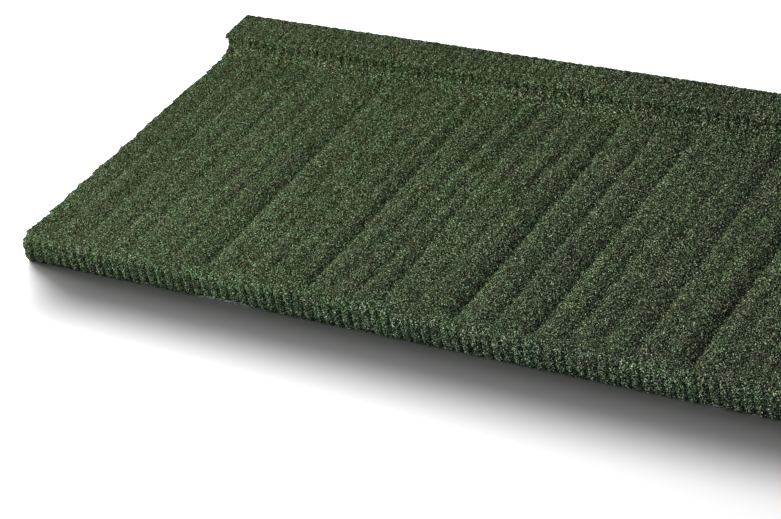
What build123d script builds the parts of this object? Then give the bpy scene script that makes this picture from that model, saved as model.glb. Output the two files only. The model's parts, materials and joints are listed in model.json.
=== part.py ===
from build123d import *
import math
import os
from collections import namedtuple

# Pressed steel roofing sheet with a coat of stone chippings, shaped to look like a
# course of split shakes. Sizes are in millimetres. Along the section, x runs from the
# pan's left end, y from the nose's front face to the back and z up from the pan's top.

pan_length = 1321.0
coated_thickness = 2.0

# Section: downturned nose with its foot curled under, pan, upstand and rear flange
pan_depth = 370.0
nose_drop = 31.0
upstand_rise = 19.0
flange_depth = 46.7
foot_radius = 18.0
foot_turn = math.radians(32.0)
nose_radius = 9.0
cove_radius = 12.0
crown_radius = 4.0

# Pressing draws in the pan's ends, so the nose and the flange stand out beyond them
end_flare = 4.5
flare_reach = 30.0
flare_share_foot = 0.8
flare_share_nose_top = 0.35
flare_share_mid_crown = 0.25
flare_share_crown = 0.55

# Fine flutes pressed into the nose, the upstand and the flange
flute_pitch = 10.4
flute_depth = 1.5
flute_share_mid_nose = 0.7
flute_share_pan_edge = 0.1
flute_share_mid_cove = 0.5

# Grooves between the shakes, pressed into the pan. Each has its places and depths at the
# nose and at the cove, and the widths of its left and right flanks.
groove_run_out = 6.0
flank_curve = 1.6
side_lap = 75.0
pattern_repeat = 610.0

Groove = namedtuple("Groove", "front rear front_depth rear_depth left_flank right_flank")
Station = namedtuple(
    "Station", "y z lean flute flare groove rear", defaults=[0.0, 0.0, 0.0, 0.0]
)

lap_channels = [
    Groove(29.0, 29.0, 1.7, 1.6, 20.0, 9.0),
    Groove(62.0, 59.0, 2.3, 1.9, 20.0, 9.0),
]
shake_grooves = [
    Groove(209.0, 204.0, 4.0, 2.0, 18.0, 13.0),
    Groove(323.0, 320.0, 4.2, 2.2, 13.0, 16.0),
    Groove(403.0, 384.0, 2.6, 1.0, 10.0, 14.0),
    Groove(479.0, 476.0, 5.0, 3.0, 18.0, 22.0),
    Groove(517.0, 516.0, 2.8, 1.8, 11.0, 14.0),
    Groove(559.0, 556.0, 4.4, 2.4, 16.0, 14.0),
    Groove(651.0, 643.0, 1.8, 2.4, 11.0, 13.0),
    Groove(710.0, 706.0, 5.2, 3.0, 17.0, 15.0),
]

# The pattern comes again along the sheet. The right end repeats the left end's channels,
# so that sheets nest where they lap.
cover_length = pan_length - side_lap
grooves = lap_channels + shake_grooves
for groove in shake_grooves:
    if groove.front + pattern_repeat < cover_length:
        again = groove.front + pattern_repeat
        grooves.append(groove._replace(front=again, rear=groove.rear + pattern_repeat))
for channel in lap_channels:
    again = channel.front + cover_length
    grooves.append(channel._replace(front=again, rear=channel.rear + cover_length))

# Unheld, the sheet stands on its front foot and on the pan's lowest line at the cove
deepest_rear = max(groove.rear_depth for groove in grooves)
contact_depth = pan_depth - cove_radius
contact_drop = nose_drop - coated_thickness - deepest_rear
rest_slope = math.atan2(contact_drop, contact_depth)

flute_count = round(pan_length / flute_pitch)
half_flutes = 2 * flute_count
half_flute = pan_length / half_flutes
bend_start = 0.0
bend_middle = math.radians(45.0)
bend_end = math.radians(90.0)


def relief(x, rear):
    """Height of the pan at x, where rear is 0 at the nose and 1 at the cove."""
    height = 0.0
    for groove in grooves:
        depth = groove.front_depth + (groove.rear_depth - groove.front_depth) * rear
        beyond = x - groove.front
        flank = groove.left_flank if beyond < 0.0 else groove.right_flank
        nearness = 1.0 - abs(beyond) / flank
        if nearness > 0.0:
            height -= depth * nearness**flank_curve
    return height


def drift(x):
    """How far the grooves about x wander sideways between the nose and the cove."""
    marks = [(0.0, 0.0), (pan_length, 0.0)]
    for groove in grooves:
        marks.append((groove.front, groove.rear - groove.front))
    marks.sort()
    for (start, first), (end, last) in zip(marks, marks[1:]):
        if x <= end:
            return first + (last - first) * (x - start) / (end - start)
    return 0.0


def follow_groove(x):
    """Move a grid line onto the groove that runs within half a step of it."""
    for groove in grooves:
        if abs(groove.front - x) <= half_flute / 2:
            return groove.front
    return x


def flared(x, share):
    """Move a point near an end of the sheet outwards."""
    near_end = min(x, pan_length - x)
    flare = share * end_flare * max(0.0, 1.0 - near_end / flare_reach)
    return x - flare if x < pan_length / 2 else x + flare


def bend(centre_y, centre_z, radius, lean, **settings):
    """Station on a bend; a negative radius curves towards the top face."""
    y = centre_y - radius * math.cos(lean)
    z = centre_z + radius * math.sin(lean)
    return Station(y, z, lean, **settings)


def section():
    """Stations along the top face, from the foot of the nose to the flange's edge."""
    foot_y = foot_radius
    foot_z = foot_radius * math.sin(foot_turn) - nose_drop
    cove_y = pan_depth - cove_radius
    crown_y = pan_depth + crown_radius
    crown_z = upstand_rise - crown_radius
    edge_y = pan_depth + flange_depth
    return [
        bend(foot_y, foot_z, foot_radius, -foot_turn, flute=1.0, flare=flare_share_foot),
        bend(foot_y, foot_z, foot_radius, -foot_turn / 2, flute=1.0, flare=1.0),
        bend(foot_y, foot_z, foot_radius, bend_start, flute=1.0, flare=1.0),
        bend(
            nose_radius,
            -nose_radius,
            nose_radius,
            bend_start,
            flute=1.0,
            flare=flare_share_nose_top,
        ),
        bend(nose_radius, -nose_radius, nose_radius, bend_middle, flute=flute_share_mid_nose),
        bend(nose_radius, -nose_radius, nose_radius, bend_end, flute=flute_share_pan_edge),
        Station(nose_radius + groove_run_out, 0.0, bend_end, groove=1.0),
        bend(cove_y, cove_radius, -cove_radius, bend_end, groove=1.0, rear=1.0),
        bend(cove_y, cove_radius, -cove_radius, bend_middle, flute=flute_share_mid_cove),
        bend(cove_y, cove_radius, -cove_radius, bend_start, flute=1.0),
        bend(crown_y, crown_z, crown_radius, bend_start, flute=1.0),
        bend(crown_y, crown_z, crown_radius, bend_middle, flute=1.0, flare=flare_share_mid_crown),
        bend(crown_y, crown_z, crown_radius, bend_end, flute=1.0, flare=flare_share_crown),
        Station(edge_y, upstand_rise, bend_end, flute=1.0, flare=1.0),
    ]


def at_rest(x, y, z):
    """Turn a point of the section into the sheet's pose on the floor."""
    return Vector(
        x - pan_length / 2,
        y * math.cos(rest_slope) + z * math.sin(rest_slope),
        (z + nose_drop) * math.cos(rest_slope) - y * math.sin(rest_slope),
    )


def outline(station, is_foot):
    """Corner points of the sheet's cut face at a station: top face, then underside."""
    top = []
    underside = []
    for index in range(half_flutes + 1):
        x = index * half_flute
        crest = flute_depth / 2 if index % 2 else -flute_depth / 2
        rise = station.flute * crest
        if station.groove > 0.0:
            x = follow_groove(x)
            rise += station.groove * relief(x, station.rear)
            x += station.rear * drift(x)
        x = flared(x, station.flare)
        for face, offset in ((top, rise), (underside, rise - coated_thickness)):
            if is_foot:
                y = station.y - offset / math.cos(station.lean)
                z = station.z + y * math.tan(rest_slope)
            else:
                y = station.y - offset * math.cos(station.lean)
                z = station.z + offset * math.sin(station.lean)
            face.append(at_rest(x, y, z))
    underside.reverse()
    return top + underside


stations = section()
outlines = [outline(station, station is stations[0]) for station in stations]
front_y = min(point.Y for points in outlines for point in points)
back_y = max(point.Y for points in outlines for point in points)
to_middle = Vector(0.0, -(front_y + back_y) / 2, 0.0)

wires = []
for points in outlines:
    corners = [point + to_middle for point in points]
    wires.append(Wire.make_polygon(corners, close=True))

roofing_sheet = Solid.make_loft(wires, ruled=True)
roofing_sheet.label = "roofing_sheet"

os.makedirs("parts", exist_ok=True)
export_step(roofing_sheet, "parts/roofing_sheet.step")
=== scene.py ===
"""Green stone-coated roofing sheet: its steel, its coat of chippings and its studio."""

import json
import math
from collections import namedtuple

import bpy
import numpy as np
from bpy.props import FloatProperty, FloatVectorProperty, IntProperty, PointerProperty
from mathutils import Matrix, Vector

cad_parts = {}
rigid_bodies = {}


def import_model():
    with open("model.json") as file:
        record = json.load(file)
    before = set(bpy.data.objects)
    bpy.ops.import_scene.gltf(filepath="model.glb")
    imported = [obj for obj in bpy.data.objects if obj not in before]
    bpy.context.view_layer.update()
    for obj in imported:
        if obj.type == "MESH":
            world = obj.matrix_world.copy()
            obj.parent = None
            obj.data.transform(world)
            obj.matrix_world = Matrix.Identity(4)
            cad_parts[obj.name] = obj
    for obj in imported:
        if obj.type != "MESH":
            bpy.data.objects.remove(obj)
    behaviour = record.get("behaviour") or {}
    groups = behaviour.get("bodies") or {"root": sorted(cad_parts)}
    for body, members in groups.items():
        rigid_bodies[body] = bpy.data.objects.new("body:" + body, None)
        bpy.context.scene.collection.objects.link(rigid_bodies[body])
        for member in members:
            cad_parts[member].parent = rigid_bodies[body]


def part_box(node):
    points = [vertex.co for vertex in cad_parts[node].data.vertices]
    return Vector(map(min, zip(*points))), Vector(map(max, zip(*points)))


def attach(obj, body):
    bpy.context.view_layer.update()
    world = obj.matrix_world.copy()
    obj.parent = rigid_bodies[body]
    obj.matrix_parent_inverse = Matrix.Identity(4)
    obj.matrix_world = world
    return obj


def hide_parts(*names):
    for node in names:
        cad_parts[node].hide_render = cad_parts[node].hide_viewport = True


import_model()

bl_info = {
    "name": "Stone-coated roofing sheet",
    "version": (1, 0, 0),
    "blender": (4, 5, 0),
    "location": "3D View > Sidebar > Roofing",
    "description": "Builds a fluted steel roofing sheet with a coat of stone chippings",
    "category": "Add Mesh",
}

SHEET_NODE = "roofing_sheet"
LEFT_FRONT_FOOT, RIGHT_BACK_TOP = (Vector(corner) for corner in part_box(SHEET_NODE))
SHEET_LENGTH = RIGHT_BACK_TOP.x - LEFT_FRONT_FOOT.x
MM = 0.001
# A difference too small to count
HAIR = 0.001 * MM

# Runs of the section's top face, in order from the foot to the rear edge
FOOT, NOSE, NOSE_BEND, PAN, COVE, UPSTAND, CROWN, FLANGE = range(8)

# A groove of the pan, in millimetres: its floor's place from the pan's left end and its
# depth, at the nose and at the cove, and the widths of its left and right flanks
Groove = namedtuple("Groove", "front rear front_depth rear_depth fall climb")

# A layer of noise over the sheet: the size of its waves along the sheet and across it, in
# metres, its strength and its seed
Waves = namedtuple("Waves", "along across strength seed")

# A lamp: its place, the place that it faces, its width and height, and its tone
Lamp = namedtuple("Lamp", "place target size tone", defaults=[(1.0, 1.0, 1.0)])


def length(name, description, default):
    """A length that a user can change, in metres."""
    return FloatProperty(
        name=name, description=description, default=default, unit="LENGTH", precision=5
    )


def share(name, description, default):
    """A part of a whole that a user can change."""
    return FloatProperty(
        name=name, description=description, default=default, subtype="FACTOR", min=0.0, max=1.0
    )


def power(name, description, default):
    """The power of a lamp, in watts."""
    return FloatProperty(name=name, description=description, default=default, unit="POWER")


def colour(name, description, default):
    """A colour that a user can change, as linear light."""
    return FloatVectorProperty(
        name=name, description=description, default=default, subtype="COLOR", min=0.0, max=1.0
    )


class SheetSection(bpy.types.PropertyGroup):
    """Sizes of the bent section, measured on its top face."""

    thickness: length("Thickness", "Steel and coat together", 2.0 * MM)
    steel: length("Steel", "Steel with the primer on its back", 0.5 * MM)
    pan_depth: length("Pan depth", "From the front face to the upstand", 370.0 * MM)
    nose_drop: length("Nose drop", "From the pan down to the foot", 31.0 * MM)
    upstand_rise: length("Upstand rise", "From the pan up to the flange", 19.0 * MM)
    flange_depth: length("Flange depth", "From the upstand to the rear edge", 46.7 * MM)
    foot_radius: length("Foot radius", "Bend that curls the foot under", 18.0 * MM)
    foot_turn: FloatProperty(
        name="Foot turn",
        description="How far the foot curls",
        default=math.radians(32),
        unit="ROTATION",
    )
    nose_radius: length("Nose radius", "Bend between pan and nose", 9.0 * MM)
    cove_radius: length("Cove radius", "Bend between pan and upstand", 12.0 * MM)
    crown_radius: length("Crown radius", "Bend between upstand and flange", 4.0 * MM)
    end_flare: length("End flare", "How far nose and flange stand out at the ends", 4.5 * MM)
    flare_reach: length("Flare reach", "Length over which the ends flare", 30.0 * MM)
    flutes: IntProperty(name="Flutes", description="Flutes along the sheet", default=127, min=1)
    flute_depth: length("Flute depth", "From a flute's crest to its flank", 1.5 * MM)
    valley_depth: length("Valley depth", "Of the narrow valley between flutes", 0.7 * MM)
    deepest_rear: length("Deepest groove", "Groove depth that touches the floor", 3.0 * MM)


class ShakeRelief(bpy.types.PropertyGroup):
    """Wood-like relief pressed into the pan."""

    sway: length("Sway", "How far grooves wander from a straight line", 0.8 * MM)
    floor_radius: length("Floor radius", "Rounding of a groove's floor", 1.2 * MM)
    side_lap: length("Side lap", "Width by which sheets overlap", 75.0 * MM)
    first_pattern: length("First pattern", "Length that the listed lines fill", 775.0 * MM)
    repeat: length("Repeat", "Distance at which the pattern comes again", 610.0 * MM)
    fall_curve: FloatProperty(
        name="Fall curve", description="Bend of a groove's left flank", default=1.2
    )
    climb_curve: FloatProperty(
        name="Climb curve", description="Bend of a groove's right flank", default=1.8
    )
    cleft_share: share("Cleft share", "Part of a groove's depth that is its cleft", 0.2)
    cleft_fall: length("Cleft fall", "Left flank of the cleft in a groove", 7.0 * MM)
    cleft_climb: length("Cleft climb", "Right flank of the cleft in a groove", 5.0 * MM)
    run_out: length("Run out", "Length over which grooves rise to the plain nose", 24.0 * MM)
    lead: length("Lead", "Part of that length on the bend of the nose", 4.0 * MM)
    grain_depth: length("Grain depth", "Height of the fine grain", 0.32 * MM)
    grain_pitch: length("Grain pitch", "Distance between fine grain lines", 9.0 * MM)
    grain_reach: length("Grain reach", "Length over which a grain line fades", 120.0 * MM)


class ChippingCoat(bpy.types.PropertyGroup):
    """Coat of crushed stone bedded in green binder."""

    bays: IntProperty(
        name="Bays", description="Lengths that the coat's mesh is made in", default=5, min=1
    )
    columns: IntProperty(
        name="Columns", description="Chippings along one bay", default=220, min=1
    )
    rows: IntProperty(
        name="Rows", description="Chippings across the section", default=368, min=1
    )
    stand: length("Stand", "Height by which chippings differ", 0.9 * MM)
    clump: length("Clump", "Height by which clumps of chippings differ", 0.4 * MM)
    clump_pitch: length("Clump pitch", "Distance between clumps", 6.0 * MM)
    scatter: share("Scatter", "Unevenness of the chippings' spacing", 0.36)
    ragged: length("Ragged ends", "How unevenly the coat ends", 1.6 * MM)
    tooth_depth: length("Tooth depth", "Deepest step in the coat's torn ends", 5.5 * MM)
    tooth_length: length("Tooth length", "Usual distance between steps", 24.0 * MM)
    overhang: length("Overhang", "How far the torn steps reach beyond the pan's end", 2.6 * MM)
    torn_reach: length("Torn reach", "Length over which a torn end pushes chippings", 15.0 * MM)
    # Painted shade along the cut foot and low in the nose's valleys
    painted_foot_band: length("Dark foot", "Height of the dull band along the cut foot", 4.0 * MM)
    band_fade: length("Band fade", "Length over which the dull band narrows", 60.0 * MM)
    painted_valley_shade: share("Shaded valley", "Shading of the valleys between flutes", 0.95)
    chip: length("Chipping", "Usual width of a chipping", 0.84 * MM)
    stone: colour("Stone", "Colour of the chippings on the whole", (0.064, 0.089, 0.042))
    primer: colour("Primer", "Colour of the sheet's back", (0.33, 0.29, 0.24))


class Studio(bpy.types.PropertyGroup):
    """Camera and lights."""

    lens: FloatProperty(name="Lens", description="Focal length on 36 mm film", default=121.1)
    camera_place: FloatVectorProperty(
        name="Camera place",
        description="Where the photograph was taken from",
        default=(0.9125, -1.6650, 1.4475),
        subtype="TRANSLATION",
    )
    camera_turn: FloatVectorProperty(
        name="Camera turn",
        description="How the camera is tipped, tilted and turned",
        default=[math.radians(angle) for angle in (53.047, 10.948, 29.875)],
        subtype="EULER",
    )
    sky: FloatProperty(name="Sky", description="Strength of the even light", default=0.15)
    key_light: power("Key light", "Main light on the sheet", 185.0)
    front_fill: power("Front fill", "Light on the sheet's nose", 1.78)
    low_fill: power("Low fill", "Light on the sheet's foot", 8.0)
    floor_back: power("Floor back", "Light on the floor behind the sheet", 950.0)
    floor_side: power("Floor side", "Light on the floor beside the sheet", 470.0)


def section_runs(sheet):
    """Runs of the top face, foot to rear edge: (length, y, z, lean at start, radius).

    A run is straight where its radius is 0. For a bend, y and z are its centre, and a
    negative radius curves towards the top face.
    """
    quarter = math.pi / 2
    foot, nose = sheet.foot_radius, sheet.nose_radius
    cove, crown = sheet.cove_radius, sheet.crown_radius
    foot_top = foot * math.sin(sheet.foot_turn) - sheet.nose_drop
    return [
        (sheet.foot_turn * foot, foot, foot_top, -sheet.foot_turn, foot),
        (-nose - foot_top, 0.0, foot_top, 0.0, 0.0),
        (quarter * nose, nose, -nose, 0.0, nose),
        (sheet.pan_depth - nose - cove, nose, 0.0, quarter, 0.0),
        (quarter * cove, sheet.pan_depth - cove, cove, quarter, -cove),
        (sheet.upstand_rise - cove - crown, sheet.pan_depth, cove, 0.0, 0.0),
        (quarter * crown, sheet.pan_depth + crown, sheet.upstand_rise - crown, 0.0, crown),
        (sheet.flange_depth - crown, sheet.pan_depth + crown, sheet.upstand_rise, quarter, 0.0),
    ]


def run_ends(sheet):
    """Distance from the foot, along the top face, at which each run ends."""
    return np.cumsum([run[0] for run in section_runs(sheet)])


def along_section(sheet, distance):
    """(y, z, lean) of the top face at distances from the foot."""
    y, z, lean = (np.zeros_like(distance) for _ in range(3))
    start = 0.0
    for reach, run_y, run_z, run_lean, radius in section_runs(sheet):
        here = distance >= start - HAIR
        beyond = distance[here] - start
        if radius:
            turn = run_lean + beyond / radius
            y[here] = run_y - radius * np.cos(turn)
            z[here] = run_z + radius * np.sin(turn)
        else:
            turn = np.full_like(beyond, run_lean)
            y[here] = run_y + beyond * math.sin(run_lean)
            z[here] = run_z + beyond * math.cos(run_lean)
        lean[here] = turn
        start += reach
    return y, z, lean


def eased(part):
    """A part from 0 to 1 that starts and ends gently."""
    return part * part * (3.0 - 2.0 * part)


def smooth_noise(along, across, seed):
    """Even noise from -1 to 1 over two coordinates, one value to a unit square."""
    spare = 3
    size = (int(along.max()) + spare, int(across.max()) + spare)
    lattice = np.random.default_rng(seed).uniform(-1.0, 1.0, size)
    i, j = np.floor(along).astype(int), np.floor(across).astype(int)
    u, v = eased(along - i), eased(across - j)
    near = lattice[i, j] * (1 - u) + lattice[i + 1, j] * u
    far = lattice[i, j + 1] * (1 - u) + lattice[i + 1, j + 1] * u
    return near * (1 - v) + far * v


def wave(x, y, waves):
    """A layer of noise over the sheet, or over its section laid flat."""
    return waves.strength * smooth_noise(x / waves.along, y / waves.across, waves.seed)


# Channels of the side lap, which come again at the right end
LAP_CHANNELS = (
    Groove(29, 29, 1.7, 1.3, 15, 9),
    Groove(62, 59, 2.3, 1.9, 20, 9),
)
# Grooves between the shakes
SHAKE_GROOVES = (
    Groove(207, 202, 4.5, 2.4, 17, 14),
    Groove(321, 319, 4.2, 2.2, 13, 17),
    Groove(401, 385, 2.8, 1.4, 10, 14),
    Groove(476, 474, 5.5, 3.5, 17, 22),
    Groove(515, 514, 2.8, 1.8, 11, 14),
    Groove(555, 554, 4.7, 2.4, 16, 15),
    Groove(654, 645, 2.0, 2.4, 11, 13),
    Groove(706, 704, 5.9, 3.0, 15, 16),
)
# Finer lines of the wood grain, and ledges in the right flanks of the deepest grooves
GRAIN_LINES = (
    Groove(97, 85, 0.9, 0.8, 8, 9),
    Groove(118, 110, 1.5, 1.2, 9, 11),
    Groove(127, 128, 0.7, 0.6, 6, 8),
    Groove(149, 143, 1.2, 1.4, 9, 9),
    Groove(167, 172, 1.2, 1.1, 8, 8),
    Groove(212, 209, 0.5, 0.5, 5, 8),
    Groove(236, 247, 0.5, 1.1, 9, 9),
    Groove(252, 256, 1.2, 0.3, 9, 9),
    Groove(276, 275, 1.1, 1.2, 9, 11),
    Groove(298, 297, 0.8, 1.1, 8, 9),
    Groove(331, 330, 0.8, 0.5, 6, 8),
    Groove(347, 361, 1.3, 1.8, 9, 12),
    Groove(370, 385, 1.8, 0.6, 9, 10),
    Groove(411, 413, 0.0, 2.2, 9, 16),
    Groove(430, 449, 1.4, 2.0, 9, 12),
    Groove(496, 493, 0.1, 0.8, 8, 8),
    Groove(538, 532, 0.2, 0.8, 8, 8),
    Groove(561, 560, 0.8, 0.6, 5, 8),
    Groove(574, 573, 0.0, 1.2, 8, 10),
    Groove(589, 587, 2.8, 0.0, 10, 12),
    Groove(621, 611, 1.6, 1.2, 10, 10),
    Groove(674, 674, 1.0, 0.9, 8, 12),
    Groove(713, 712, 1.3, 0.9, 7, 8),
    Groove(732, 733, 1.2, 1.0, 10, 10),
    Groove(750, 753, 0.6, 0.6, 7, 7),
    Groove(764, 762, 0.9, 0.8, 9, 9),
)
# How far grooves and lines wander, as parts of their sway, and how unevenly a grain line
# is pressed
SWAY_WAVES = (Waves(0.05, 0.09, 1.0, 11), Waves(0.015, 0.03, 0.3, 13))
GRAIN_STRENGTH = 0.9
GRAIN_STRENGTH_WAVES = Waves(0.02, 0.05, 0.3, 12)
# Layers of the fine grain: (seed, how much finer than the usual grain). At this level of
# their noise, which is from -1 to 1, they lie at the plain surface.
FINE_GRAIN = ((21, 1.0), (22, 1.9), (23, 0.45))
FINE_GRAIN_LEVEL = 0.4
# Least gap between the pressed sheet and the floor
FLOOR_GAP = 0.1 * MM

# Parts of the flutes' depth and of the ends' flare at places of the section:
# (run, part of the run, part of the whole)
FLUTE_SHARES = (
    (FOOT, 0.0, 1.0),
    (NOSE, 1.0, 0.9),
    (NOSE_BEND, 0.5, 0.6),
    (NOSE_BEND, 0.8, 0.12),
    (NOSE_BEND, 1.0, 0.0),
    (PAN, 1.0, 0.0),
    (COVE, 0.5, 0.35),
    (COVE, 1.0, 0.6),
    (CROWN, 1.0, 0.45),
    (FLANGE, 1.0, 0.4),
)
FLARE_SHARES = (
    (FOOT, 0.0, 0.8),
    (FOOT, 0.5, 1.0),
    (FOOT, 1.0, 1.0),
    (NOSE, 1.0, 0.35),
    (NOSE_BEND, 0.5, 0.0),
    (UPSTAND, 1.0, 0.0),
    (CROWN, 0.5, 0.25),
    (CROWN, 1.0, 0.55),
    (FLANGE, 1.0, 1.0),
)
# Flutes differ in depth from one to the next, and along each of them. The waves' length
# along the sheet is counted in flutes.
FLUTE_STRENGTH = 0.72
FLUTE_WAVES = Waves(1 / 1.3, 0.02, 0.28, 31)
# Distance from the foot's edge over which its level cut fades into the bend
CUT_REACH = 4 * MM

# Where the coat has flaked off the foot, in millimetres: (start and end along the pan, how
# far up the foot)
FOOT_FLAKES = (
    (132, 145, 3.2),
    (194, 272, 4.6),
    (724, 741, 4.6),
    (761, 773, 2.8),
    (938, 958, 3.6),
    (1176, 1188, 3.0),
)


def soft_dip(offset, fall, climb):
    """How deep a grain line is, from 0 to 1, at an offset from its floor."""
    return eased(np.clip(1.0 - np.where(offset < 0.0, -offset / fall, offset / climb), 0.0, 1.0))


def groove_dip(offset, fall, climb, relief):
    """How deep a groove is, from 0 to 1: two bent flanks, and a cleft in its floor."""
    wide = np.hypot(offset, relief.floor_radius) - relief.floor_radius
    falling = np.clip(1.0 - wide / fall, 0.0, 1.0) ** relief.fall_curve
    climbing = np.clip(1.0 - wide / climb, 0.0, 1.0) ** relief.climb_curve
    flanks = np.where(offset < 0.0, falling, climbing)
    cleft = soft_dip(offset, relief.cleft_fall, relief.cleft_climb)
    return (1.0 - relief.cleft_share) * flanks + relief.cleft_share * cleft


def pressed_lines(sheet, relief):
    """Every line pressed into the pan: (line, shift along the sheet, whether a groove)."""
    cover = pan_length(sheet) - relief.side_lap
    lines = [(line, shift, True) for line in LAP_CHANNELS for shift in (0.0, cover)]
    for group, is_groove in ((SHAKE_GROOVES, True), (GRAIN_LINES, False)):
        for line in group:
            lines.append((line, 0.0, is_groove))
            if relief.first_pattern < line.front * MM + relief.repeat < cover:
                lines.append((line, relief.repeat, is_groove))
    return lines


def pan_relief(sheet, relief, x, y):
    """Height of the pan at x and y."""
    rear = np.clip(y / sheet.pan_depth, 0.0, 1.0)
    sway = relief.sway * sum(wave(x, y, waves) for waves in SWAY_WAVES)
    strength = GRAIN_STRENGTH + wave(x, y, GRAIN_STRENGTH_WAVES)
    height = np.zeros_like(x)
    for line, shift, is_groove in pressed_lines(sheet, relief):
        depth = (line.front_depth + (line.rear_depth - line.front_depth) * rear) * MM
        flanks = (line.fall * MM, line.climb * MM)
        offset = x + sway - (line.front + (line.rear - line.front) * rear) * MM - shift
        if is_groove:
            height -= depth * groove_dip(offset, *flanks, relief)
        else:
            height -= strength * depth * soft_dip(offset, *flanks)
    for seed, finer in FINE_GRAIN:
        grain = smooth_noise(
            (x + sway) * finer / relief.grain_pitch, y * finer / relief.grain_reach, seed
        )
        height += (grain - FINE_GRAIN_LEVEL) / 2 * relief.grain_depth / max(finer, 1.0)
    # Near the cove no groove may reach below the floor
    before_cove = np.maximum(sheet.pan_depth - sheet.cove_radius - y, 0.0)
    room = sheet.deepest_rear + before_cove * rest_fall(sheet)
    return np.maximum(height, FLOOR_GAP - room)


def rest_fall(sheet):
    """Fall of the resting sheet from its cove to its nose, which stands on its foot."""
    drop = sheet.nose_drop - sheet.thickness - sheet.deepest_rear
    return drop / (sheet.pan_depth - sheet.cove_radius)


def pan_length(sheet):
    """Length of the pan, between the flared ends of nose and flange."""
    return SHEET_LENGTH - 2 * sheet.end_flare


def flute_rib(sheet, x):
    """1 on the crests of the flutes and 0 in the valleys between them."""
    return np.abs(np.sin(math.pi * x * sheet.flutes / pan_length(sheet)))


def share_along(sheet, distance, shares):
    """A part of a whole that changes along the section, from a table of shares."""
    ends = run_ends(sheet)
    starts = np.concatenate([[0.0], ends[:-1]])
    places = [starts[run] + part * (ends[run] - starts[run]) for run, part, _ in shares]
    return np.interp(distance, places, [of_whole for _, _, of_whole in shares])


def face_offset(sheet, relief, x, distance):
    """Height of the pressed relief on the top face, square to the section."""
    # Flutes are rounded ribs with narrow valleys
    along = x * sheet.flutes / pan_length(sheet)
    rib = flute_rib(sheet, x)
    rise = (rib - 0.5) * sheet.flute_depth - (1.0 - rib) ** 2 * sheet.valley_depth
    uneven = FLUTE_STRENGTH + wave(along, distance, FLUTE_WAVES)
    fluted = share_along(sheet, distance, FLUTE_SHARES) * uneven * rise
    # The pan's grooves rise to the plain nose, and fade into the cove
    ends = run_ends(sheet)
    first = ends[NOSE_BEND] - relief.lead
    last = (ends[PAN] + ends[COVE]) / 2
    pressed = eased(
        np.interp(
            distance,
            [first, first + relief.run_out, ends[PAN] - relief.run_out / 2, last],
            [0.0, 1.0, 1.0, 0.0],
        )
    )
    y, _, _ = along_section(sheet, distance)
    return fluted + pressed * pan_relief(sheet, relief, x, y)


def flared(sheet, x, distance):
    """Places along the sheet, moved outwards where nose and flange flare at its ends."""
    near_end = np.minimum(x, pan_length(sheet) - x)
    flare = sheet.end_flare * np.clip(1.0 - near_end / sheet.flare_reach, 0.0, 1.0)
    flare = flare * share_along(sheet, distance, FLARE_SHARES)
    return np.where(x < pan_length(sheet) / 2, x - flare, x + flare)


def at_rest(sheet, x, distance, offset):
    """Points of the sheet lying on the floor, for heights over its plain section."""
    y, z, lean = along_section(sheet, distance)
    slope = math.atan(rest_fall(sheet))
    # The foot is cut level with the floor
    foot = np.clip(1.0 - distance / CUT_REACH, 0.0, 1.0)
    slide = -foot * offset * np.tan(np.minimum(lean, 0.0))
    y = y - offset * np.cos(lean) + slide * np.sin(lean)
    z = z + offset * np.sin(lean) + slide * np.cos(lean) + foot * y * math.tan(slope)
    foot_top = sheet.foot_radius * math.sin(sheet.foot_turn) - sheet.nose_drop
    front_y = foot_top * math.sin(slope) - sheet.flute_depth / 2 * math.cos(slope)
    return np.stack(
        [
            LEFT_FRONT_FOOT.x + sheet.end_flare + flared(sheet, x, distance),
            LEFT_FRONT_FOOT.y - front_y + y * math.cos(slope) + z * math.sin(slope),
            (z + sheet.nose_drop) * math.cos(slope) - y * math.sin(slope),
        ],
        axis=-1,
    )


def grid_triangles(columns, rows, turned, start=0):
    """Two triangles for each cell of a grid of points, cut along a chance diagonal."""
    i, j = np.meshgrid(np.arange(columns), np.arange(rows), indexing="ij")
    a = start + i * (rows + 1) + j
    b, c, d = a + rows + 1, a + rows + 2, a + 1
    turned = turned[:columns, :rows]
    first = np.where(turned[..., None], np.stack([a, b, d], -1), np.stack([a, b, c], -1))
    second = np.where(turned[..., None], np.stack([b, c, d], -1), np.stack([a, c, d], -1))
    return np.concatenate([first.reshape(-1, 3), second.reshape(-1, 3)])


def strip(upper, lower):
    """Triangles between two lines of as many points."""
    a, b, c, d = upper[:-1], upper[1:], lower[1:], lower[:-1]
    return np.concatenate([np.stack([a, d, c], -1), np.stack([a, c, b], -1)])


def triangle_object(name, layer, material, marks=()):
    """A mesh object from a layer's points, triangles and bake map.

    Marks are named values of the upper face's points, for the material to read.
    """
    points, triangles, bake_map = layer
    mesh = bpy.data.meshes.new(name)
    mesh.vertices.add(len(points))
    mesh.vertices.foreach_set("co", points.astype(np.float32).ravel())
    mesh.loops.add(3 * len(triangles))
    mesh.loops.foreach_set("vertex_index", triangles.astype(np.int32).ravel())
    mesh.polygons.add(len(triangles))
    mesh.polygons.foreach_set("loop_start", np.arange(0, 3 * len(triangles), 3, dtype=np.int32))
    mesh.uv_layers.new(name="OFBake").data.foreach_set("uv", bake_map.astype(np.float32).ravel())
    for mark, values in dict(marks).items():
        padded = np.zeros(len(points), np.float32)
        padded[: values.size] = values.ravel()
        mesh.attributes.new(mark, "FLOAT", "POINT").data.foreach_set("value", padded)
    mesh.update(calc_edges=True)
    mesh.validate()
    mesh.materials.append(material)
    piece = bpy.data.objects.new(name, mesh)
    bpy.context.scene.collection.objects.link(piece)
    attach(piece, "root")
    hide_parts(SHEET_NODE)
    return piece


# Height of a rim's band in the bake map, and of the gaps between faces and bands
MAP_GAP = 0.006


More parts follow.
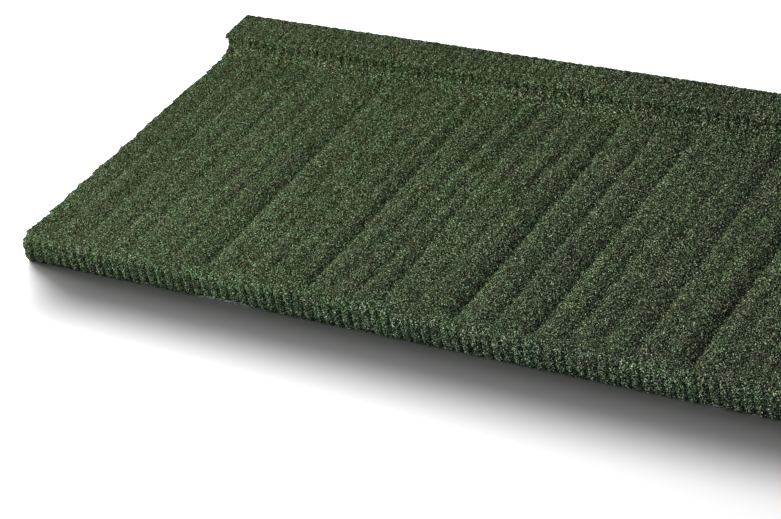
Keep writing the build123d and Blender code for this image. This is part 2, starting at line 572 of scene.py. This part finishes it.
def closed_layer(sheet, relief, x, distance, top, bottom_distance, bottom, turned, top_share):
    """Points, triangles and bake map of a closed layer between two faces of the sheet.

    x, distance and top are grids of columns by rows. The lower face keeps the columns, with
    its own, fewer rows. The upper face takes top_share of the bake map's height.
    """
    columns, rows = x.shape[0] - 1, x.shape[1] - 1
    lower_rows = len(bottom_distance) - 1
    lower_x = np.repeat((x[:, :1] + x[:, -1:]) / 2, lower_rows + 1, axis=1)
    lower_x[:, 0] = x[:, 0]
    lower_x[:, -1] = x[:, -1]
    # Under a torn end, the lower face stops where the upper one reaches least
    lower_x[0] = x[0].max()
    lower_x[-1] = x[-1].min()
    lower_distance = np.repeat(bottom_distance[None, :], columns + 1, axis=0)
    lower_distance[:, 0] = distance[:, 0]
    lower = face_offset(sheet, relief, lower_x, lower_distance) + bottom
    points = np.concatenate(
        [
            at_rest(sheet, x, distance, top).reshape(-1, 3),
            at_rest(sheet, lower_x, lower_distance, lower).reshape(-1, 3),
        ]
    )
    first_lower = x.size
    upper = np.arange(x.size).reshape(x.shape)
    under = first_lower + np.arange(lower_x.size).reshape(lower_x.shape)
    plain_cells = np.zeros((columns, lower_rows), bool)
    faces = [
        grid_triangles(columns, rows, turned),
        grid_triangles(columns, lower_rows, plain_cells, first_lower)[:, ::-1],
    ]
    rims = [
        strip(upper[:, 0], under[:, 0]),
        strip(under[:, -1], upper[:, -1]),
        end_cap(upper[0], under[0], distance[0], bottom_distance),
        end_cap(upper[-1], under[-1], distance[-1], bottom_distance)[:, ::-1],
    ]
    # The bake map is the sheet laid flat: upper face, lower face, then a band for each rim
    along = np.concatenate([x.ravel(), lower_x.ravel()])
    along = (along - along.min()) / np.ptp(along)
    across = np.concatenate([distance.ravel(), lower_distance.ravel()]) / distance.max()
    rims_start = 1.0 - 2 * MAP_GAP * len(rims)
    lower_height = rims_start - top_share - 2 * MAP_GAP
    bake_map = [
        np.stack([along[faces[0]], top_share * across[faces[0]]], -1),
        np.stack([along[faces[1]], top_share + MAP_GAP + lower_height * across[faces[1]]], -1),
    ]
    for index, (rim, run) in enumerate(zip(rims, (along, along, across, across))):
        level = rims_start + MAP_GAP * (2 * index + (rim >= first_lower))
        bake_map.append(np.stack([run[rim], level], -1))
    return points, np.concatenate(faces + rims), np.concatenate(bake_map)


def end_cap(upper, under, upper_distance, under_distance):
    """Triangles between two lines that run side by side with unlike numbers of points."""
    found = []
    i = 0
    j = 0
    while i < len(upper) - 1 or j < len(under) - 1:
        step_upper = j == len(under) - 1 or (
            i < len(upper) - 1 and upper_distance[i + 1] <= under_distance[j + 1]
        )
        if step_upper:
            found.append((upper[i], upper[i + 1], under[j]))
            i += 1
        else:
            found.append((upper[i], under[j + 1], under[j]))
            j += 1
    return np.array(found)


# Sockets of a Mix node for colours, which go by number because several share a name
MIX_FACTOR, MIX_FIRST, MIX_SECOND, MIX_RESULT = 0, 6, 7, 2


class Nodes:
    """The node tree of a material or world, with a short way to add and join nodes."""

    def __init__(self, owner, shader):
        owner.use_nodes = True
        self.tree = owner.node_tree
        self.shader = self.tree.nodes[shader]

    def add(self, kind, inputs=(), **settings):
        """A node of this kind, with sockets set to numbers or joined to other sockets."""
        node = self.tree.nodes.new(kind)
        for key, value in settings.items():
            setattr(node, key, value)
        for key, value in dict(inputs).items():
            self.join(value, node.inputs[key])
        return node

    def join(self, value, socket):
        """Sets a socket to a value, or feeds it from another socket."""
        if isinstance(value, bpy.types.NodeSocket):
            self.tree.links.new(value, socket)
        else:
            socket.default_value = value

    def ramp(self, factor, stops):
        """A colour ramp through (place, colour) stops."""
        node = self.add("ShaderNodeValToRGB", {"Fac": factor})
        elements = node.color_ramp.elements
        while len(elements) < len(stops):
            elements.new(1.0)
        for element, (place, shade) in zip(elements, stops):
            element.position = place
            element.color = (*shade, 1.0)
        return node.outputs["Color"]

    def spread(self, value, **ends):
        """A value moved from one pair of ends to another, which are 0 and 1 unless given."""
        names = {"start": "From Min", "end": "From Max", "low": "To Min", "high": "To Max"}
        inputs = {names[key]: number for key, number in ends.items()}
        return self.add("ShaderNodeMapRange", {"Value": value, **inputs}).outputs["Result"]

    def mark(self, name, low=0.0, high=1.0):
        """A value marked on the mesh's points, from low where it is 0 to high where it is 1."""
        marked = self.add("ShaderNodeAttribute", attribute_name=name)
        return self.spread(marked.outputs["Fac"], low=low, high=high)

    def multiplied(self, first, second):
        """Two colours multiplied."""
        return self.mix(1.0, first, second, "MULTIPLY")

    def mix(self, factor, first, second, blend="MIX"):
        """Two colours mixed."""
        node = self.add("ShaderNodeMix", data_type="RGBA", blend_type=blend)
        self.join(factor, node.inputs[MIX_FACTOR])
        self.join(first, node.inputs[MIX_FIRST])
        self.join(second, node.inputs[MIX_SECOND])
        return node.outputs[MIX_RESULT]


def material_nodes(name):
    """A new material and its nodes."""
    material = bpy.data.materials.new(name)
    return material, Nodes(material, "Principled BSDF")


def grey(level):
    """A colour of equal parts."""
    return (level, level, level)


# Blends of chippings: (part of them, brightness). The finish is livelier to the right.
CALM_BLEND = (
    (0.0, 0.08),
    (0.25, 0.34),
    (0.50, 0.74),
    (0.75, 1.35),
    (0.90, 2.10),
    (0.97, 2.60),
    (1.0, 3.60),
)
LIVELY_BLEND = (
    (0.0, 0.0),
    (0.28, 0.02),
    (0.50, 0.52),
    (0.75, 1.68),
    (0.90, 3.15),
    (0.97, 4.30),
    (1.0, 6.00),
)
# Tints of painted shade on the darkest chippings and of painted light on the brightest, at the
# left and to the right
PAINTED_SHADE_TINTS = ((1.13, 1.0, 0.52, 1.0), (1.02, 1.0, 1.12, 1.0))
PAINTED_LIGHT_TINTS = ((0.90, 1.0, 1.28, 1.0), (1.10, 1.0, 1.18, 1.0))
CHIP_TINTS = (
    (0.0, (1.30, 0.93, 1.05)),
    (0.10, (1.12, 0.98, 0.95)),
    (0.35, (1.00, 1.03, 0.94)),
    (0.65, (0.95, 1.03, 0.99)),
    (0.85, (0.94, 1.00, 1.08)),
    (0.95, (1.05, 0.97, 1.25)),
    (1.0, (1.35, 0.93, 1.40)),
)
# Patches over the coat: (scale of the noise, its tones)
PATCHES = (
    (9.0, ((0.3, grey(0.86)), (0.7, grey(1.12)))),
    (45.0, ((0.3, (1.10, 0.96, 1.05)), (0.5, grey(1.0)), (0.7, (0.90, 1.05, 0.92)))),
    (170.0, ((0.3, grey(0.95)), (0.7, grey(1.05)))),
)
PATCH_NOISE = {"Detail": 3.0, "Roughness": 0.6}
GRIT_NOISE = {"Scale": 2600.0, "Detail": 2.0}
GRIT_TONES = ((0.35, grey(0.10)), (0.65, grey(1.90)))
GRIT_BUMP = {"Distance": 0.25 * MM, "Strength": 0.7}
CHIPPING_BUMP = {"Distance": 0.6 * MM, "Strength": 0.8}
CHIPPING_ROUGHNESS = {"low": 0.55, "high": 0.95}
CHIPPING_GLOSS = 0.06
# Painted shade over a chipping, from its lighter middle to the dark gap round it, where
# binder also shows, and painted shade from the deepest chippings in the coat to the highest
PAINTED_GAP_SHADE = {"start": 0.25, "end": 0.85, "low": 1.3, "high": 0.05}
PAINTED_DEPTH_SHADE = {"low": 0.08, "high": 1.92}
# Darkest level of the painted shade along the foot and in the nose's valleys
PAINTED_SHADE_LEVEL = 0.22
FLAKE_EDGE = ((0.40, grey(0.0)), (0.60, grey(1.0)))
# Places along the sheet, in metres, between which it grows livelier and the tints of its painted
# light and shade change
LIVELIER = {"start": -0.65, "end": -0.10}
OTHER_TONES = {"start": -0.40, "end": 0.05}

# The primer: noise drawn out into long faint streaks along the sheet, and dust
PRIMER_STREAKS = (3.0, 60.0, 60.0)
PRIMER_NOISE = {"Scale": 3.0, "Detail": 5.0, "Roughness": 0.65}
PRIMER_TONES = ((0.3, 0.82), (0.7, 1.0))
PRIMER_ROUGHNESS = {"low": 0.42, "high": 0.62}
DUST_NOISE = {"Scale": 900.0, "Detail": 3.0}
DUST_BUMP = {"Distance": 0.1 * MM, "Strength": 0.3}


def stone_colour(coat, nodes, place, stones):
    """Crushed stone in several greens, with painted shade on deep chippings and in the gaps
    between them, where the binder shows too.
    """
    parts = nodes.add("ShaderNodeSeparateColor", {"Color": stones.outputs["Color"]})
    along = nodes.add("ShaderNodeSeparateXYZ", {"Vector": place}).outputs["X"]
    blends = [
        nodes.ramp(
            parts.outputs["Red"],
            [(part, tuple(level * channel for channel in coat.stone)) for part, level in blend],
        )
        for blend in (CALM_BLEND, LIVELY_BLEND)
    ]
    stone = nodes.mix(nodes.spread(along, **LIVELIER), *blends)
    # Painted shade: chippings that lie deep in the coat are darker, and so are the gaps between
    # them, where binder shows too
    stone = nodes.multiplied(stone, nodes.spread(stones.outputs["Distance"], **PAINTED_GAP_SHADE))
    stone = nodes.multiplied(stone, nodes.mark("bed", **PAINTED_DEPTH_SHADE))
    # Painted light and shade: dark chippings take a shade tint and bright ones a light tint, and
    # both change along the sheet
    brightness = nodes.spread(stone, end=2.0 * coat.stone[1])
    changed = nodes.spread(along, **OTHER_TONES)
    tone = nodes.mix(
        brightness, nodes.mix(changed, *PAINTED_SHADE_TINTS), nodes.mix(changed, *PAINTED_LIGHT_TINTS)
    )
    stone = nodes.multiplied(stone, tone)
    stone = nodes.multiplied(stone, nodes.ramp(parts.outputs["Green"], CHIP_TINTS))
    for scale, tones in PATCHES:
        patches = nodes.add(
            "ShaderNodeTexNoise", {"Vector": place, "Scale": scale, **PATCH_NOISE}
        )
        stone = nodes.multiplied(stone, nodes.ramp(patches.outputs["Fac"], tones))
    # Painted shade along the foot and low in the nose's valleys
    return nodes.multiplied(stone, nodes.mark("foot", low=1.0, high=PAINTED_SHADE_LEVEL))


def chipping_material(coat):
    """The coat: chippings of their own colour with painted light and shade, gloss and bump, with
    fine grit on them.
    """
    material, nodes = material_nodes("chipping_coat")
    place = nodes.add("ShaderNodeTexCoord").outputs["Object"]
    stones = nodes.add(
        "ShaderNodeTexVoronoi", {"Vector": place, "Scale": 1.0 / coat.chip, "Randomness": 1.0}
    )
    grit = nodes.add("ShaderNodeTexNoise", {"Vector": place, **GRIT_NOISE})
    gritty = nodes.multiplied(
        stone_colour(coat, nodes, place, stones), nodes.ramp(grit.outputs["Fac"], GRIT_TONES)
    )
    # The primer shows where the coat has flaked off the cut foot
    flaked = nodes.ramp(nodes.mark("flake"), FLAKE_EDGE)
    shade = nodes.mix(flaked, gritty, (*coat.primer, 1.0))
    nodes.join(shade, nodes.shader.inputs["Base Color"])
    parts = nodes.add("ShaderNodeSeparateColor", {"Color": stones.outputs["Color"]})
    rough = nodes.spread(parts.outputs["Blue"], **CHIPPING_ROUGHNESS)
    nodes.join(rough, nodes.shader.inputs["Roughness"])
    relief = nodes.add("ShaderNodeBump", {"Height": grit.outputs["Fac"], **GRIT_BUMP})
    domed = nodes.add(
        "ShaderNodeBump",
        {
            "Height": stones.outputs["Distance"],
            "Normal": relief.outputs["Normal"],
            **CHIPPING_BUMP,
        },
        invert=True,
    )
    nodes.join(domed.outputs["Normal"], nodes.shader.inputs["Normal"])
    nodes.shader.inputs["Specular IOR Level"].default_value = CHIPPING_GLOSS
    return material


def primer_material(coat):
    """Thin matt primer on the steel's back, with faint roller marks and dust."""
    material, nodes = material_nodes("primer_back")
    place = nodes.add("ShaderNodeTexCoord").outputs["Object"]
    stretched = nodes.add("ShaderNodeMapping", {"Vector": place, "Scale": PRIMER_STREAKS})
    marks = nodes.add(
        "ShaderNodeTexNoise", {"Vector": stretched.outputs["Vector"], **PRIMER_NOISE}
    )
    tones = [
        (part, tuple(level * channel for channel in coat.primer)) for part, level in PRIMER_TONES
    ]
    shade = nodes.ramp(marks.outputs["Fac"], tones)
    nodes.join(shade, nodes.shader.inputs["Base Color"])
    rough = nodes.spread(marks.outputs["Fac"], **PRIMER_ROUGHNESS)
    nodes.join(rough, nodes.shader.inputs["Roughness"])
    dust = nodes.add("ShaderNodeTexNoise", {"Vector": place, **DUST_NOISE})
    dusty = nodes.add("ShaderNodeBump", {"Height": dust.outputs["Fac"], **DUST_BUMP})
    nodes.join(dusty.outputs["Normal"], nodes.shader.inputs["Normal"])
    return material


# Steps of mesh on each run of the section: the steel's, and those of the coat's back
STEEL_STEPS = (2, 2, 4, 20, 5, 1, 3, 3)
COAT_BACK_STEPS = (2, 2, 3, 10, 4, 1, 3, 2)
RUN_OUT_ROWS = 8
SHARP_ANGLE = math.radians(50)

# Parts of the steel's and of the coat's bake map that their upper faces take
STEEL_MAP_SHARE = 0.3
COAT_MAP_SHARE = 0.88

CHIPPING_SEED = 3
CLUMP_SEED = 41
# Steps in the coat's torn ends: their least and greatest parts of the usual length and of
# the greatest depth, and the part of their depth that is left on the flared nose and
# flange. Spare steps are drawn, so that short ones still reach the end.
TORN_LENGTHS = (0.3, 1.7)
TORN_DEPTHS = (0.3, 1.0)
TORN_ON_FLARE = 0.3
TORN_SPARE = 4
# Part of the height of the foot's band of painted shade that is left far from the left end
FAR_BAND = 0.1
# Length, in millimetres, over which a flake's edge fades
FLAKE_FADE = 1.0


def row_distances(sheet, relief, counts):
    """Distances of rows from the foot, with its own number of steps on each run.

    Extra rows follow the grooves where they run out at the nose and at the cove.
    """
    ends = run_ends(sheet)
    starts = ends - [run[0] for run in section_runs(sheet)]
    rows = [
        np.linspace(start, end, count + 1) for start, end, count in zip(starts, ends, counts)
    ]
    steps = np.linspace(0.0, relief.run_out, RUN_OUT_ROWS)
    rows += [ends[NOSE_BEND] - relief.lead + steps, ends[PAN] - steps / 2]
    # Rows within a hundredth of a millimetre of each other become one
    return np.unique(np.concatenate(rows).round(5))


def torn_end(coat, distance, chance):
    """How far the coat stops short of the sheet's end, in steps like torn felt."""
    count = math.ceil(TORN_SPARE * distance.max() / coat.tooth_length)
    steps = chance.uniform(*TORN_LENGTHS, count)
    starts = np.concatenate([[0.0], np.cumsum(steps) * coat.tooth_length])
    depths = chance.uniform(*TORN_DEPTHS, len(starts)) * coat.tooth_depth
    tooth = np.searchsorted(starts, distance, side="right") - 1
    torn = depths[tooth] * (distance - starts[tooth]) / (starts[tooth + 1] - starts[tooth])
    return torn + chance.uniform(0.0, coat.ragged, distance.shape[1])


def flaked_foot(x, distance):
    """1 where the coat has flaked off the foot, and 0 elsewhere."""
    flaked = np.zeros_like(x)
    for start, end, rise in FOOT_FLAKES:
        place = np.clip((x / MM - start) / (end - start), 0.0, 1.0)
        height = rise * np.sqrt(np.sin(math.pi * place))
        inside = np.clip((height - distance / MM) / FLAKE_FADE + 0.5, 0.0, 1.0)
        flaked = np.maximum(flaked, inside * (height > 0.0))
    return flaked


def chipping_places(sheet, coat, chance):
    """An uneven grid of chippings with torn ends, and how much their heights differ."""
    columns, rows = coat.bays * coat.columns, coat.rows
    reach = run_ends(sheet)[-1]
    x, distance = np.meshgrid(
        np.linspace(0.0, pan_length(sheet), columns + 1),
        np.linspace(0.0, reach, rows + 1),
        indexing="ij",
    )
    shift = chance.uniform(-coat.scatter, coat.scatter, x.shape) * SHEET_LENGTH / columns
    slide = chance.uniform(-coat.scatter, coat.scatter, x.shape) * reach / rows
    # The lines where bays meet stay straight, and so do foot and rear edge
    shift[:: coat.columns] = 0.0
    slide[:, [0, -1]] = 0.0
    x = x + shift
    distance = np.clip(distance + slide, 0.0, reach)
    level = np.ones_like(x)
    for from_end, inwards in ((x, 1.0), (pan_length(sheet) - x, -1.0)):
        # Torn steps reach beyond the pan's end, but not beyond the flared nose and flange
        inner = 1.0 - share_along(sheet, distance, FLARE_SHARES)
        torn = torn_end(coat, distance, chance)
        torn = torn * (TORN_ON_FLARE + (1.0 - TORN_ON_FLARE) * inner) - coat.overhang * inner
        near_end = np.clip(1.0 - from_end / coat.torn_reach, 0.0, 1.0)
        x = x + inwards * torn * near_end
        # Chippings pushed closer together differ less in height, so none stands steeper
        level -= torn / coat.torn_reach * (near_end > 0.0)
    return x, distance, level


def painted_shade_share(sheet, coat, x, distance):
    """How much painted shade darkens the coat, from 0 to 1, along the foot and low in the nose's
    valleys.
    """
    # The band of painted shade along the foot widens towards the left end
    band = coat.painted_foot_band * (FAR_BAND + np.exp(-x / coat.band_fade))
    foot = np.clip(1.0 - distance / band, 0.0, 1.0)
    ends = run_ends(sheet)
    low = np.clip((ends[NOSE] - distance) / (ends[NOSE] - ends[FOOT]), 0.0, 1.0)
    return np.maximum(foot, coat.painted_valley_shade * low * (1.0 - flute_rib(sheet, x)) ** 2)


class ROOFING_OT_steel(bpy.types.Operator):
    """Press the thin steel sheet that carries the coat, with primer on its back"""

    bl_idname = "roofing.steel"
    bl_label = "Press the steel"

    def execute(self, context):
        scene = context.scene
        sheet, relief, coat = scene.sheet_section, scene.shake_relief, scene.chipping_coat
        distance = row_distances(sheet, relief, STEEL_STEPS)
        # Columns stand on the flutes' valleys and beside their crests, clear of the torn ends
        inset = coat.ragged + coat.tooth_depth
        last = pan_length(sheet) - inset
        x = np.linspace(0.0, pan_length(sheet), 3 * sheet.flutes + 1)
        x = np.concatenate([[inset], x[(x > inset) & (x < last)], [last]])
        plain_cells = np.zeros((len(x) - 1, len(distance) - 1), bool)
        x, across = np.meshgrid(x, distance, indexing="ij")
        top = face_offset(sheet, relief, x, across) - sheet.thickness + sheet.steel
        layer = closed_layer(
            sheet,
            relief,
            x,
            across,
            top,
            distance,
            -sheet.thickness,
            plain_cells,
            STEEL_MAP_SHARE,
        )
        steel = triangle_object("steel_sheet", layer, primer_material(coat))
        steel.data.shade_smooth()
        steel.data.set_sharp_from_angle(angle=SHARP_ANGLE)
        return {"FINISHED"}


class ROOFING_OT_coat(bpy.types.Operator):
    """Lay the coat of stone chippings, in bays that meet edge to edge"""

    bl_idname = "roofing.coat"
    bl_label = "Lay the chippings"

    def execute(self, context):
        scene = context.scene
        sheet, relief, coat = scene.sheet_section, scene.shake_relief, scene.chipping_coat
        chance = np.random.default_rng(CHIPPING_SEED)
        x, distance, level = chipping_places(sheet, coat, chance)
        # How high each chipping stands; the material also reads it to paint shade on the low
        # ones
        bed = chance.uniform(0.0, 1.0, x.shape)
        clumps = smooth_noise(x / coat.clump_pitch, distance / coat.clump_pitch, CLUMP_SEED)
        top = face_offset(sheet, relief, x, distance)
        top -= (1.0 - bed) * level * coat.stand
        top -= (1.0 - clumps) / 2 * coat.clump
        turned = chance.random((x.shape[0] - 1, x.shape[1] - 1)) < 0.5
        # Painted shade along the foot and low in the nose's valleys, marked for the material
        painted_shade = painted_shade_share(sheet, coat, x, distance)
        flake = flaked_foot(x, distance)
        top -= flake * coat.stand
        lower = row_distances(sheet, relief, COAT_BACK_STEPS)
        material = chipping_material(coat)
        for bay in range(coat.bays):
            part = slice(bay * coat.columns, (bay + 1) * coat.columns + 1)
            layer = closed_layer(
                sheet,
                relief,
                x[part],
                distance[part],
                top[part],
                lower,
                -sheet.thickness + sheet.steel,
                turned[part],
                COAT_MAP_SHARE,
            )
            # Marks for the material: painted shade of deep chippings, painted shade along the
            # foot, and the flaked foot
            marks = {"bed": bed[part], "foot": painted_shade[part], "flake": flake[part]}
            piece = triangle_object(f"chipping_coat_{bay + 1}", layer, material, marks)
            piece.data.shade_flat()
        return {"FINISHED"}


# Middle and nose of the part of the sheet that the photograph shows
SEEN_MIDDLE = (-0.35, 0.0, 0.0)
SEEN_NOSE = (-0.35, -0.2, 0.0)
# Lamps that light the sheet, and lamps that light the floor. The studio holds their power.
SHEET_LAMPS = {
    "key_light": Lamp((-2.79, -0.85, 1.63), SEEN_MIDDLE, (0.6, 0.6), (1.0, 1.0, 0.94)),
    "front_fill": Lamp((-0.45, -0.45, 0.38), SEEN_NOSE, (1.3, 0.1), (0.64, 0.80, 1.0)),
    "low_fill": Lamp((-0.2, -1.5, 0.04), SEEN_NOSE, (1.6, 0.06), (0.65, 0.82, 1.0)),
}
FLOOR_LAMPS = {
    "floor_back": Lamp((-3.07, 2.74, 1.22), SEEN_NOSE, (3.9, 0.65)),
    "floor_side": Lamp((-3.86, 1.71, 1.06), SEEN_NOSE, (3.8, 0.25)),
}
# Greys of the floor, as it shows and in the light that it throws back
FLOOR_SHOWN = 0.6
FLOOR_THROWN_BACK = 0.35
FLOOR_HALF = 6.0
FILM_WIDTH = 36.0


class ROOFING_OT_stage(bpy.types.Operator):
    """Set the floor, the lights and the camera"""

    bl_idname = "roofing.stage"
    bl_label = "Set the stage"

    def execute(self, context):
        studio = context.scene.studio
        sheet = [piece for piece in context.scene.objects if piece.material_slots]
        floor = lay_floor()
        for lamps, things in ((SHEET_LAMPS, sheet), (FLOOR_LAMPS, [floor])):
            for name, lamp in lamps.items():
                light_only(add_light(name, lamp, getattr(studio, name)), things)
        light_sky(studio)
        set_camera(studio)
        context.scene.view_settings.view_transform = "Standard"
        return {"FINISHED"}


def lay_floor():
    """A wide white floor that keeps the sheet's shadow."""
    mesh = bpy.data.meshes.new("floor")
    corners = [
        (FLOOR_HALF * right, FLOOR_HALF * back, 0.0)
        for right, back in ((-1, -1), (1, -1), (1, 1), (-1, 1))
    ]
    mesh.from_pydata(corners, [], [(0, 1, 2, 3)])
    mesh.materials.append(floor_material())
    floor = bpy.data.objects.new("floor", mesh)
    bpy.context.scene.collection.objects.link(floor)
    return floor


def seen_directly(nodes):
    """1 for rays that show the background: from the camera, a gloss or a clear surface."""
    path = nodes.add("ShaderNodeLightPath")
    either = nodes.add(
        "ShaderNodeMath",
        {0: path.outputs["Is Camera Ray"], 1: path.outputs["Is Glossy Ray"]},
        operation="MAXIMUM",
    )
    return nodes.add(
        "ShaderNodeMath",
        {0: either.outputs[0], 1: path.outputs["Is Transmission Ray"]},
        operation="MAXIMUM",
    ).outputs[0]


def floor_material():
    """Floor that shows as white, and is pale grey in the light that it throws back."""
    material, nodes = material_nodes("floor")
    shade = nodes.mix(
        seen_directly(nodes), (*grey(FLOOR_THROWN_BACK), 1.0), (*grey(FLOOR_SHOWN), 1.0)
    )
    nodes.join(shade, nodes.shader.inputs["Base Color"])
    nodes.shader.inputs["Roughness"].default_value = 1.0
    nodes.shader.inputs["Specular IOR Level"].default_value = 0.0
    return material


def light_sky(studio):
    """Even light from all round, with a white background behind the sheet."""
    world = bpy.data.worlds.new("studio")
    bpy.context.scene.world = world
    nodes = Nodes(world, "Background")
    nodes.join((1.0, 1.0, 1.0, 1.0), nodes.shader.inputs["Color"])
    strength = nodes.spread(seen_directly(nodes), low=studio.sky)
    nodes.join(strength, nodes.shader.inputs["Strength"])


def add_light(name, lamp, watts):
    """A soft rectangular light."""
    data = bpy.data.lights.new(name, "AREA")
    data.shape = "RECTANGLE"
    data.size, data.size_y = lamp.size
    data.energy = watts
    data.color = lamp.tone
    light = bpy.data.objects.new(name, data)
    light.location = lamp.place
    facing = Vector(lamp.place) - Vector(lamp.target)
    light.rotation_euler = facing.to_track_quat("Z", "Y").to_euler()
    bpy.context.scene.collection.objects.link(light)
    return light


def light_only(light, things):
    """Keeps a light to these things. Everything else still casts its shadow on them."""
    lit = bpy.data.collections.new(light.name + "_reach")
    for thing in things:
        lit.objects.link(thing)
    light.light_linking.receiver_collection = lit


def set_camera(studio):
    """The camera of the photograph."""
    lens = bpy.data.cameras.new("camera")
    lens.sensor_width = FILM_WIDTH
    lens.sensor_fit = "HORIZONTAL"
    lens.lens = studio.lens
    camera = bpy.data.objects.new("camera", lens)
    camera.location = studio.camera_place
    camera.rotation_euler = studio.camera_turn
    bpy.context.scene.collection.objects.link(camera)
    bpy.context.scene.camera = camera


class ROOFING_PT_panel(bpy.types.Panel):
    """Lists the steps that build the sheet"""

    bl_idname = "ROOFING_PT_panel"
    bl_label = "Roofing sheet"
    bl_space_type = "VIEW_3D"
    bl_region_type = "UI"
    bl_category = "Roofing"

    def draw(self, context):
        for operator in OPERATORS:
            self.layout.operator(operator.bl_idname)
        for name, kind in SETTINGS.items():
            box = self.layout.box()
            for size in kind.__annotations__:
                box.prop(getattr(context.scene, name), size)


OPERATORS = (ROOFING_OT_steel, ROOFING_OT_coat, ROOFING_OT_stage)
SETTINGS = {
    "sheet_section": SheetSection,
    "shake_relief": ShakeRelief,
    "chipping_coat": ChippingCoat,
    "studio": Studio,
}


def register():
    """Add the settings, operators and panel to Blender."""
    for kind in (*SETTINGS.values(), *OPERATORS, ROOFING_PT_panel):
        bpy.utils.register_class(kind)
    for name, kind in SETTINGS.items():
        setattr(bpy.types.Scene, name, PointerProperty(type=kind))


def unregister():
    """Take them out again."""
    for name in SETTINGS:
        delattr(bpy.types.Scene, name)
    for kind in (ROOFING_PT_panel, *OPERATORS, *SETTINGS.values()):
        bpy.utils.unregister_class(kind)


def main():
    """Build the sheet and its studio."""
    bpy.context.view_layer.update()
    register()
    bpy.ops.roofing.steel()
    bpy.ops.roofing.coat()
    bpy.ops.roofing.stage()


if __name__ == "__main__":
    main()
